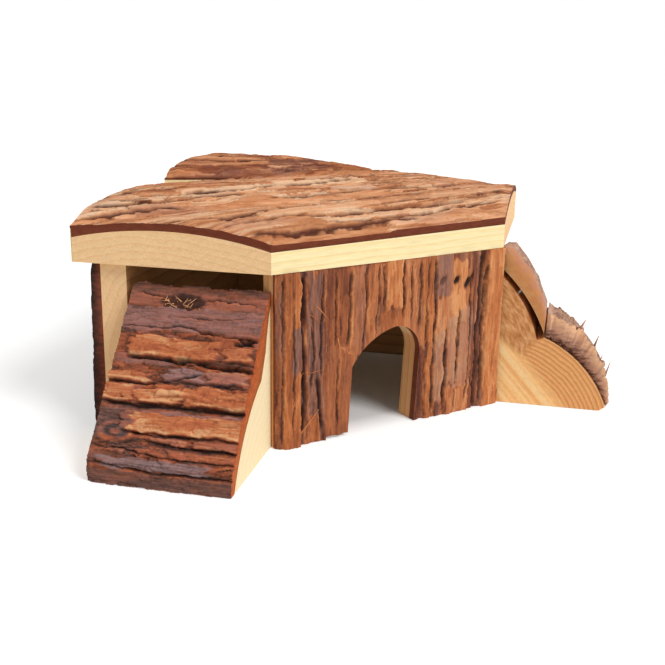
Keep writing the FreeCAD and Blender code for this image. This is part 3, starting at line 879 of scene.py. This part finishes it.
# Ramps. Sections are out and up in millimetres, and the grain runs across the ramp. left and
# right hold where a ramp starts on the plan, how far it reaches out and how tall it is.
rampShape = {"width": 51.4, "left": (-50.6, 4.5, 46, 60), "right": (53.8, 2, 47, 66)}
rampLook = {
    "step": 0.36,
    "swell": (0.3, 40, 12),
    "flakes": [(34, 6, 1.8, 0.4, 0.32, 0.4), (11, 2.4, 1.6, 0.24, 0.26, 0.3)],
    "splits": (45, 9, 0.3, 0.8, 0.45),
    "fibre": (0.1, 0.07, 7, 0.9),
}
# across the ramp from the doorway side and down the slope, then as the roof's
leftPatches = [
    (-2, 54, -2, 4, 0, 0.3, 0.15, 0.1),
    (-2, 54, 4, 9.5, 0.1, 0.5, 0.25),
    (22, 54, 10, 20, 0.2, 0.5, 0.65),
    (-2, 24, 9, 19, 0.3, 0.52, 0.6),
    (1.5, 9, 20.4, 23.4, -2.6, 0, 0, 1),
    (13.5, 47, 21.6, 29.8, 1.2, 0.9),
    (20, 29, 28.8, 31.4, 1.1, 0.98),
    (1, 12, 23.8, 29.4, 1.1, 0.88, 0.05),
    (28, 48, 30.6, 33, 0.2, 0.35, 0.5),
    (17, 31, 33.4, 38.6, 0.9, 0.5, 0.95),
    (1, 16.5, 33.4, 38.2, 0.8, 0.75, 0.5),
    (35, 53, 35.6, 39.4, 0.9, 0.9, 0.05),
    (-2, 23, 39.8, 46.8, 0.9, 0.88),
    (23, 33, 39.4, 43.8, 0.7, 0.82),
    (22, 40, 41.6, 46.6, 0.9, 0.95),
    (40.6, 54, 40.6, 46.8, 0.8, 0.86, 0.05),
    (-2, 40, 49.2, 51.4, 0.4, 0.5, 0.7),
    (-2, 43, 50.6, 57.8, 1.3, 0.95),
    (38, 54, 50, 60, 0, 0.22, 0.35, 0.1),
    (-2, 16, 58.2, 61.6, 0.8, 0.66, 0.25),
    (17, 33, 57.8, 61.4, 0.8, 0.7, 0.3),
    (-2, 34, 63, 66.2, 0.5, 0.72, 0.1),
    (8, 48, 66.4, 70.6, 0.4, 0.35, 0.95),
    (-2, 54, 71.4, 80, 0, 0.22, 0.2, 0.1),
]
leftCracks = [
    (0.5, 0.8, [(2, 5.6), (20, 6.4), (50, 4.6)]),
    (0.5, 0.9, [(-1, 20.2), (14, 19.4), (30, 17.8), (52, 18.8)]),
    (0.5, 0.9, [(4, 12), (20, 14.2), (34, 13.2)]),
    (1.2, 2, [(-1, 32.6), (10, 32.2), (22, 30.8), (30, 31.4)]),
    (0.7, 1.4, [(24, 30.8), (38, 30.2), (48, 29.4)]),
    (0.6, 1.1, [(16, 33), (17.5, 36), (30, 38.6), (36, 38.2)]),
    (0.7, 1.3, [(31, 39.6), (42, 40), (53, 39.2)]),
    (0.5, 0.9, [(-1, 38.9), (10, 39), (20, 39)]),
    (1.1, 2.1, [(-2, 47.8), (12, 48), (24, 47.4), (38, 48.2), (52, 47.8)]),
    (0.8, 1.6, [(-2, 61.9), (14, 62.2), (24, 61.2), (34, 60.6)]),
    (0.6, 1.1, [(14, 58), (30, 58.6), (41, 57.6)]),
    (0.5, 0.9, [(-2, 66.2), (20, 66), (52, 63)]),
    (0.5, 0.9, [(-2, 71.2), (30, 71), (52, 69)]),
]
scarRandom = np.random.default_rng(5)
scarSplinters = []
for number in range(26):
    at = (31 + 7.5 * scarRandom.uniform(-1, 1), 7.6 + 1.9 * scarRandom.uniform(-1, 1))
    run = (scarRandom.uniform(-3.4, 3.4), scarRandom.uniform(-1.3, 1.5))
    scarSplinters.append((at[0], at[1], run[0], run[1], scarRandom.uniform(0.5, 1.6), 0.55, 1.6))


def rampStart(which):
    # where a ramp's inner corner stands on the plan, and -1 for the left side or 1 for the right
    return (*rampShape[which][:2], -1 if which == "left" else 1)


def rampPoints(which, out, up, across):
    x, y, side = rampStart(which)
    plan = x + side * (out + across) * diagonal
    return np.column_stack([plan, y + (across - out) * diagonal, up])


def scaled(which, *points):
    reach, tall = rampShape[which][2:]
    return [(out * reach, up * tall) for out, up in points]


def pinTops(which, outer, length):
    # how far along, down the path and above it each corner of the near half's nails lies
    x, y, side = rampStart(which)
    shares = np.linspace(0, 1, 400)
    skin, normal = alongPath(outer, shares)
    found = []
    for node in ("bark_pins", "ramp_brads"):
        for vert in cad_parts[node].data.vertices:
            spot = np.array(vert.co) / mm - planShift
            run = side * (spot[0] - x)
            out = (run - spot[1] + y) * diagonal
            across = (run + spot[1] - y) * diagonal
            if 0 < across < 0.5 * rampShape["width"] and -5 < out < 60:
                offset = np.array([out, spot[2]]) - skin
                nearest = np.argmin(np.hypot(*offset.T))
                above = offset[nearest] @ normal[nearest]
                if 0 < nearest < len(shares) - 1 and -5 < above < 2:
                    found.append((across, shares[nearest] * length, above))
    return found


def rampBark(name, which, outer, inner, measure, recess=None, splinters=()):
    # outer and inner are the bark's two section paths, both from the top down
    length = np.hypot(*np.diff(outer, axis=0).T).sum()
    pins = pinTops(which, outer, length)

    def place(u, v, height, isTop):
        share = np.clip(v / length, 0, 1)
        skin, normal = alongPath(outer, share)
        under = alongPath(inner, share)[0]
        thick = np.hypot(*(skin - under).T)
        for across, down, above in pins:  # 0.4 mm of bark over each pin
            away = np.hypot(u - across, v - down)
            height = np.maximum(height, (above + 8.4) * smoothStep(5, 1.6, away) - 8)
        sunk = np.clip(-height, 0, np.maximum(thick - 1, 0)) / np.maximum(thick, 1e-9)
        rest = skin + normal * np.maximum(height, 0)[:, None] + (under - skin) * sunk[:, None]
        section = np.where(isTop[:, None], rest, under)
        across = u if recess is None else u + recess(v, isTop) * np.clip(1 - u / 9, 0, 1)
        up = np.clip(section[:, 1], 0, roofShape["wall"])
        return rampPoints(which, section[:, 0], up, across)

    span = (0, rampShape["width"])
    return barkPiece(name, span, (0, length), rampLook["step"], measure, place, splinters=splinters)


def measureLeft(u, v):
    height, crackAndShade, tone = barkRelief(u, v, rampLook, 501)
    tone = tone * 0.5 + 0.12
    grey = 0.35 * smoothStep(-0.1, 0.6, layeredNoise(u / 18, v / 6, 9, 3))
    state = layPatches(u, v, (height, crackAndShade, tone, grey), leftPatches, 520)
    height, crackAndShade, tone, grey = drawCracks(u, v, state, leftCracks, 560, 0.75)
    scar = np.hypot((u - 31) / 9, (v - 7.2) / 3.2) + 0.2 * layeredNoise(u / 3, v / 1.6, 61, 3)
    torn = layeredNoise(u / 1.1, v / 0.7, 67, 2)
    height = height - smoothStep(1.1, 0.6, scar) * (0.8 + 0.5 * torn)
    crackAndShade = np.maximum(crackAndShade, 0.85 * smoothStep(1.2, 0.8, scar))
    whorl = np.hypot((u - 44) / 7, (v - 58) / 4)
    height = height + 0.35 * np.sin(whorl * 9) * smoothStep(1.6, 0.6, whorl)
    tone = tone + 0.3 * np.sin(whorl * 9 + 0.6) * smoothStep(1.6, 0.6, whorl)
    return height - 0.8 * smoothStep(2, 0.3, v) - 0.2, crackAndShade, tone, grey


leftOuter = arcPoints(*scaled("left", (0, 1), (0.575, 0.505), (0.975, 0.13)), 90)
leftOuter = np.concatenate([leftOuter, scaled("left", (1, 0))])
leftLobe = scaled("left", (0.25, 0.49), (0.58, 0.335), (0.915, 0))
leftInner = arcPoints(*scaled("left", (0, 0.90), (0.078, 0.775), (0.135, 0.64)), 12)
leftInner = np.concatenate([leftInner, arcPoints(*leftLobe, 40)])
leftRampBark = rampBark("leftRampBark", "left", leftOuter, leftInner, measureLeft, None, scarSplinters)
leftTones = [(0, "#452A22"), (0.2, "#6E4534"), (0.4, "#94543A")]
leftTones += [(0.65, "#B9633F"), (0.85, "#CE7C4E"), (1, "#E4A878")]
leftSkin = barkSkin("pineBarkPlated", leftTones, "#1E1311", "#9C878A", 0.6, 0.5)
leftCut = sawnBark("pineBarkSawnOrange", "#D67A3E", "#A84E24", "#CE6C34")
standFor(leftRampBark, "left_ramp_bark", "left_ramp_bark", leftSkin, leftCut)
print("left ramp bark laid")


def measureUpper(u, v):
    height, crackAndShade, tone = barkRelief(u, v, rampLook, 601)
    calm = smoothStep(2, 8, v) * smoothStep(31, 26, v)
    lumps = 0.6 * layeredNoise(v / 7, u / 30, 603, 2) * calm
    return height * 0.7 * calm + lumps - 0.15 * u, crackAndShade * calm, 0.6 * tone + 0.3, 0.6 + 0 * u


def measureLower(u, v):
    height, crackAndShade, tone = barkRelief(u, v, rampLook, 641)
    calm = smoothStep(0.3, 4, v)
    pits = smoothStep(0.35, 0.6, layeredNoise(u / 3.5, v / 3, 66, 2)) * calm
    lumps = 0.7 * layeredNoise(v / 6, u / 30, 643, 3) * calm
    height = height * calm + lumps - 0.9 * pits - 0.16 * u
    return height, np.maximum(crackAndShade * calm, 0.8 * pits), 0.6 * tone + 0.3, 0.5 + 0 * u


def brokenEnd(v, isTop):
    # the near end is broken, not sawn, with a hollow a quarter of the way down
    rough = 0.7 * layeredNoise(v / 2.2, isTop * 3, 71, 3) + 0.5
    return rough + 3.5 * np.exp(-(((v - 15) / 3.4) ** 2)) * isTop


upperOuter = arcPoints(*scaled("right", (0.094, 1), (0.311, 0.806), (0.414, 0.59)), 50)
upperOuter = np.concatenate([scaled("right", (0, 1)), upperOuter])
upperInner = arcPoints(*scaled("right", (0, 0.873), (0.245, 0.680), (0.404, 0.47)), 50)
lowerOuter = arcPoints(*scaled("right", (0.425, 0.605), (0.728, 0.492), (1, 0.06)), 60)
lowerInner = arcPoints(*scaled("right", (0.419, 0.4484), (0.7175, 0.3062), (0.9765, 0.0292)), 60)
lowerSplinters = [
    (1, 15, 2, -0.6, 4.6, 1.4, 0.6),
    (1.5, 24, 1, -2.4, 5.2, 1.3, 0.25),
    (1, 36.5, 1, -4.2, 4.2, 1, 0.4),
    (1, 5, 1, 0.4, 2.2, 0.9, 0.5),
    (2, 30, 0.6, -1, 2.4, 0.8, 0.5),
    (24, 20, 1.6, -1, 3, 1, 0.5),
    (38, 32, 2, 1, 3.2, 0.9, 0.4),
]
rightTones = [(0, "#7A4A38"), (0.3, "#A87258"), (0.6, "#C99474"), (1, "#E2B492")]
rightSkin = barkSkin("pineBarkFlakyPink", rightTones, "#2E1E1A", "#B29A92", 0.6, 0.3)
upperCut = sawnBark("pineBarkSawnTan", "#FBC283", "#E6A582", "#F2AC6C", 150)
lowerCut = sawnBark("pineBarkBroken", "#5C3628", "#F6C296", "#DCA88C", 330)
piece = rampBark("rightRampUpperBark", "right", upperOuter, upperInner, measureUpper)
standFor(piece, "right_ramp_upper_bark", "right_ramp_bark", rightSkin, upperCut)
paths = (lowerOuter, lowerInner)
piece = rampBark("rightRampLowerBark", "right", *paths, measureLower, brokenEnd, lowerSplinters)
standFor(piece, "right_ramp_lower_bark", "right_ramp_bark", rightSkin, lowerCut)
print("right ramp bark laid")

# Wood, on the CAD nodes themselves.
creamSide = [(0, "#FCE9B6"), (0.7, "#FAE4AC"), (0.93, "#F6DA9C"), (1, "#FCE9B6")]
peachEnd = [(0, "#F9D09C"), (0.7, "#F7CB96"), (0.93, "#F2C28C"), (1, "#F9D09C")]
# shadySide is painted shade: darker long-grain stops for the side walls' board faces, which lie in shade
# inside the house
shadySide = [(0, "#BC8C5E"), (0.7, "#B48456"), (0.93, "#A2744A"), (1, "#BC8C5E")]
paleEnd = [(0, "#FDEBC2"), (0.7, "#FCE8BC"), (0.93, "#FAE2B0"), (1, "#FDEBC2")]
for name in ("front", "middle", "back"):
    start, width, wood, rise, turn = roofShape[name]
    turn = math.radians(turn)
    y, z = circleThrough((0, wood[0]), (width / 2, wood[1]), (width, wood[2]))[:2]
    axis = (math.cos(turn), -math.sin(turn), rise)
    middle = (y * math.sin(turn), start + y * math.cos(turn), roofShape["wall"] + z)
    slabWood = sawnWood(name + "SlabPine", axis, middle, 2.6, creamSide, peachEnd, 0.09)
    dress("roof_" + name + "_slab", slabWood)
reveal = [(0, "#EDB67E"), (0.7, "#E6AA70"), (0.93, "#D6965C"), (1, "#EDB67E")]
boards = {
    "front": ((0, 0, 1), (4, 70, 0), 2.8, reveal),
    "left": ((1, 1, 0), (-60, 40, 33), 3.4, shadySide),
    "right": ((-1, 1, 0), (60, 40, 33), 3.4, shadySide),
}
for name, board in boards.items():
    dress(name + "_wall_board", sawnWood(name + "BoardPine", *board, peachEnd))
lobe = circleThrough(*leftLobe)
middle = rampPoints("left", np.array([lobe[0]]), np.array([lobe[1]]), np.array([0]))[0]
dress("left_ramp_block", sawnWood("leftRampPine", (-1, 1, 0), middle, 4.2, paleEnd, paleEnd, 0.04))
lower = circleThrough(*scaled("right", (0.41, 0.442), (0.713, 0.303), (0.972, 0.026)))
upper = circleThrough(*scaled("right", (0, 0.825), (0.198, 0.664), (0.345, 0.42)))
split = ((16.2, 27.7), (5.3, 7))
pale = [((10.9, 20.7), (17.2, -19.4)), ((10.9, 20.7), (15, -10.8))]
rightWood = rampEndGrain("rightRampPine", rampShape["right"][:2], upper[:2], lower[:2], split, pale)
dress("right_ramp_block", rightWood)
print("wood dressed")


def drawnSteel():
    # Bright drawn steel wire, cut square: grey, half polished, with faint draw lines.
    material, add = emptyMaterial("steelWireDrawn")
    place = add("TexCoord", out="Object")
    scratch = noise(add, place, 2500, 2)
    rough = add("MapRange", {"Value": scratch, "To Min": 0.45, "To Max": 0.65})
    look = {"Base Color": linearColour("#8E8B86"), "Metallic": 1, "Roughness": rough}
    add("OutputMaterial", {"Surface": add("BsdfPrincipled", look)})
    return material


def cutPins():
    # the bark's pins as built, with the right ramp's far one cut short under the thin bark
    bm = bmesh.new()
    bm.from_mesh(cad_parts["bark_pins"].data)
    bmesh.ops.remove_doubles(bm, verts=bm.verts[:], dist=1e-7)
    x, y = rampShape["right"][:2]
    far = []
    for vert in bm.verts:
        spot = np.array(vert.co) / mm - planShift
        if (spot[0] - x + spot[1] - y) * diagonal > 0.5 * rampShape["width"]:
            far.append(vert)
    middle = sum((vert.co for vert in far), Vector()) / len(far)
    head = [vert for vert in far if vert.co.z > middle.z]
    top = sum((vert.co for vert in head), Vector()) / len(head)
    bmesh.ops.translate(bm, verts=head, vec=1.06 * (middle - top))
    return builtFrom("barkPins", bm)


steel = drawnSteel()
for node in ("roof_brads", "corner_brads", "ramp_brads"):
    dress(node, steel)
standFor(cutPins(), "bark_pins", "brad_steel", steel)

# Studio: a pale floor that keeps the shadow, a white surround and one soft lamp. The floor's
# lift fades to none inside the house, whose front, back and side lines are given on the plan.
studio = {
    "floor": 3,
    "world": 0.5,
    "lamp": 1.85,
    "lampAngle": 25,
    "lampFrom": (0.25, -0.85, 0.8),
    "lift": 0.4,
    "front": 0.004,
    "back": 0.145,
    "side": 0.046,
    "fade": (-0.004, 0.01),
}
bm = bmesh.new()
bmesh.ops.create_grid(bm, x_segments=1, y_segments=1, size=studio["floor"])
bmesh.ops.translate(bm, verts=bm.verts[:], vec=(0, 0, -0.0002))
floor = builtFrom("floor", bm)


def seenDirectly(add):
    # 1 for camera, glossy and transmission rays
    rays = add("LightPath").node.outputs
    both = add("Math", {0: rays["Is Camera Ray"], 1: rays["Is Glossy Ray"]}, operation="ADD")
    return add("Math", {0: both, 1: rays["Is Transmission Ray"]}, operation="ADD", use_clamp=True)


paper, add = emptyMaterial("paperWhiteFloor")
spot = add("TexCoord", out="Object")
spot = add("VectorMath", {0: spot, 1: tuple(planShift * mm)}, operation="SUBTRACT")
spot = add("SeparateXYZ", {0: spot}).node.outputs
wide = add("Math", {0: spot[0]}, operation="ABSOLUTE")
behind = add("Math", {0: spot[1], 1: studio["front"]}, operation="SUBTRACT")
reach = add("Math", {0: wide, 1: spot[1]}, operation="ADD")
reach = add("Math", {0: studio["back"], 1: reach}, operation="SUBTRACT")
beside = add("Math", {0: spot[1], 1: wide}, operation="SUBTRACT")
beside = add("Math", {0: beside, 1: studio["side"]}, operation="ADD")
within = add("Math", {0: behind, 1: reach}, operation="MINIMUM")
within = add("Math", {0: within, 1: beside}, operation="MINIMUM")
near, deep = studio["fade"]
ranged = {"Value": within, "From Min": near, "From Max": deep, "To Min": studio["lift"], "To Max": 0}
lift = add("MapRange", ranged)
lift = add("Math", {0: lift, 1: seenDirectly(add)}, operation="MULTIPLY")
matt = add("BsdfDiffuse", {"Color": linearColour("#F0F0F0")})
lifted = add("Emission", {"Strength": lift})
both = add("AddShader", {0: matt, 1: lifted})
add("OutputMaterial", {"Surface": both})
floor.data.materials.append(paper)

world = bpy.data.worlds.new("studioWhite")
bpy.context.scene.world = world
world.use_nodes = True
world.node_tree.nodes.clear()
add = partial(addNode, world.node_tree)
level = add("MapRange", {"Value": seenDirectly(add), "To Min": studio["world"], "To Max": 1})
sky = add("Background", {"Color": (1, 1, 1, 1), "Strength": level})
add("OutputWorld", {"Surface": sky})

lamp = placed("softLamp", bpy.data.lights.new("softLamp", "SUN"))
lamp.data.energy = studio["lamp"]
lamp.data.angle = math.radians(studio["lampAngle"])
lamp.rotation_euler = Vector(studio["lampFrom"]).to_track_quat("Z", "Y").to_euler()
bpy.context.scene.view_settings.view_transform = "Standard"
print("studio set")
